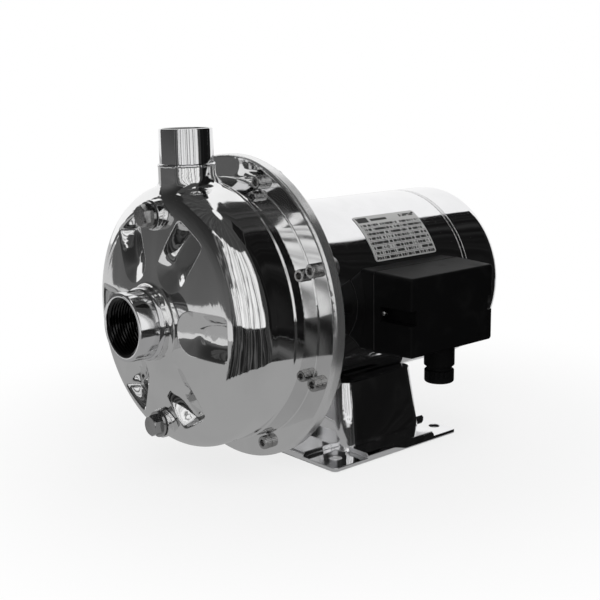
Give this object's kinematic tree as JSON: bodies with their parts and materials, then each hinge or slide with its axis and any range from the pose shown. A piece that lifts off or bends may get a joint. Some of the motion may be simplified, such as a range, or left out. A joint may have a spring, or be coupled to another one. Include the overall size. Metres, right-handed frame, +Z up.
{
  "type": "centrifugal pump",
  "caption": "Close-coupled centrifugal pump with a pressed steel casing, flanged motor, terminal box and pressed foot.",
  "frame": {"origin": "centre of the foot's four bolt holes, on the floor", "axes": "+X along the shaft from the suction socket to the fan cover, +Z up towards the discharge socket, -Y towards the terminal box"},
  "size_m": [0.3236, 0.232, 0.252],
  "materials": {
    "polished_steel": "mirror-polished stainless steel",
    "turned_steel": "turned stainless steel",
    "fastener_steel": "bright fastener steel",
    "cast_aluminium": "machined casting",
    "black_plastic": "fine-textured moulded plastic",
    "rubber": "plain",
    "ceramic": "lapped ceramic",
    "carbon": "lapped carbon",
    "lamination_steel": "stacked electrical sheet",
    "copper": "varnished copper wire",
    "brass": "plain"
  },
  "bodies": {
    "pump_body": {"pump_casing": "polished_steel", "suction_port": "polished_steel", "discharge_port": "polished_steel", "wear_ring": "turned_steel", "casing_cover": "turned_steel", "casing_o_ring": "rubber", "motor_bracket": "cast_aluminium", "flange_screws": "fastener_steel", "seal_seat": "ceramic", "seal_seat_cup": "rubber", "bearing_outer_front": "turned_steel", "bearing_outer_rear": "turned_steel", "wave_spring": "turned_steel", "stator_core": "lamination_steel", "stator_windings": "copper", "motor_shell": "polished_steel", "rear_end_shield": "cast_aluminium", "tie_rods": "fastener_steel", "fan_cover": "polished_steel", "box_pad": "black_plastic", "box_base": "black_plastic", "box_gasket": "rubber", "box_cover": "black_plastic", "box_cover_screws": "fastener_steel", "terminal_board": "black_plastic", "terminal_studs": "brass", "gland_body": "black_plastic", "gland_seal": "rubber", "gland_nut": "black_plastic", "gland_locknut": "black_plastic", "foot": "polished_steel"},
    "rotor_body": {"shaft": "turned_steel", "impeller_key": "turned_steel", "impeller_front_shroud": "turned_steel", "impeller_back_plate": "turned_steel", "impeller_vanes": "turned_steel", "impeller_washer": "turned_steel", "impeller_nut": "turned_steel", "rotor_core": "lamination_steel", "rotor_end_rings": "cast_aluminium", "fan": "black_plastic", "fan_clip": "turned_steel", "seal_ring": "carbon", "seal_bellows": "rubber", "slinger": "rubber", "bearing_inner_front": "turned_steel", "bearing_inner_rear": "turned_steel"},
    "front_cage_body": {"bearing_cage_front": "turned_steel", "bearing_balls_front": "turned_steel"},
    "rear_cage_body": {"bearing_cage_rear": "turned_steel", "bearing_balls_rear": "turned_steel"},
    "priming_seal_body": {"priming_gasket": "rubber"},
    "priming_plug_body": {"priming_plug": "fastener_steel"},
    "drain_seal_body": {"drain_gasket": "rubber"},
    "drain_plug_body": {"drain_plug": "fastener_steel"}
  },
  "joints": [
    {"name": "rotor_spin", "type": "hinge", "parent": "pump_body", "child": "rotor_body", "pos_m": [0, 0, 0.118], "axis": [1, 0, 0], "continuous": true},
    {"name": "front_cage_spin", "type": "hinge", "parent": "pump_body", "child": "front_cage_body", "pos_m": [-0.09, 0, 0.118], "axis": [1, 0, 0], "continuous": true},
    {"name": "rear_cage_spin", "type": "hinge", "parent": "pump_body", "child": "rear_cage_body", "pos_m": [0.05835, 0, 0.118], "axis": [1, 0, 0], "continuous": true},
    {"name": "priming_lift", "type": "slide", "parent": "pump_body", "child": "priming_seal_body", "axis": [-1, 0, 0], "range_m": [0, 0.0107]},
    {"name": "priming_turn", "type": "hinge", "parent": "priming_seal_body", "child": "priming_plug_body", "pos_m": [-0.171, 0, 0.1937], "axis": [-1, 0, 0], "range_deg": [0, 2882]},
    {"name": "drain_lift", "type": "slide", "parent": "pump_body", "child": "drain_seal_body", "axis": [-1, 0, 0], "range_m": [0, 0.0107]},
    {"name": "drain_turn", "type": "hinge", "parent": "drain_seal_body", "child": "drain_plug_body", "pos_m": [-0.171, 0, 0.0423], "axis": [-1, 0, 0], "range_deg": [0, 2882]}
  ],
  "couplings": [
    {"joint": "front_cage_spin", "follows": "rotor_spin", "ratio": 0.3815},
    {"joint": "rear_cage_spin", "follows": "rotor_spin", "ratio": 0.3818},
    {"joint": "priming_turn", "follows": "priming_lift", "rad_per_m": 4699.5},
    {"joint": "drain_turn", "follows": "drain_lift", "rad_per_m": 4699.5}
  ]
}
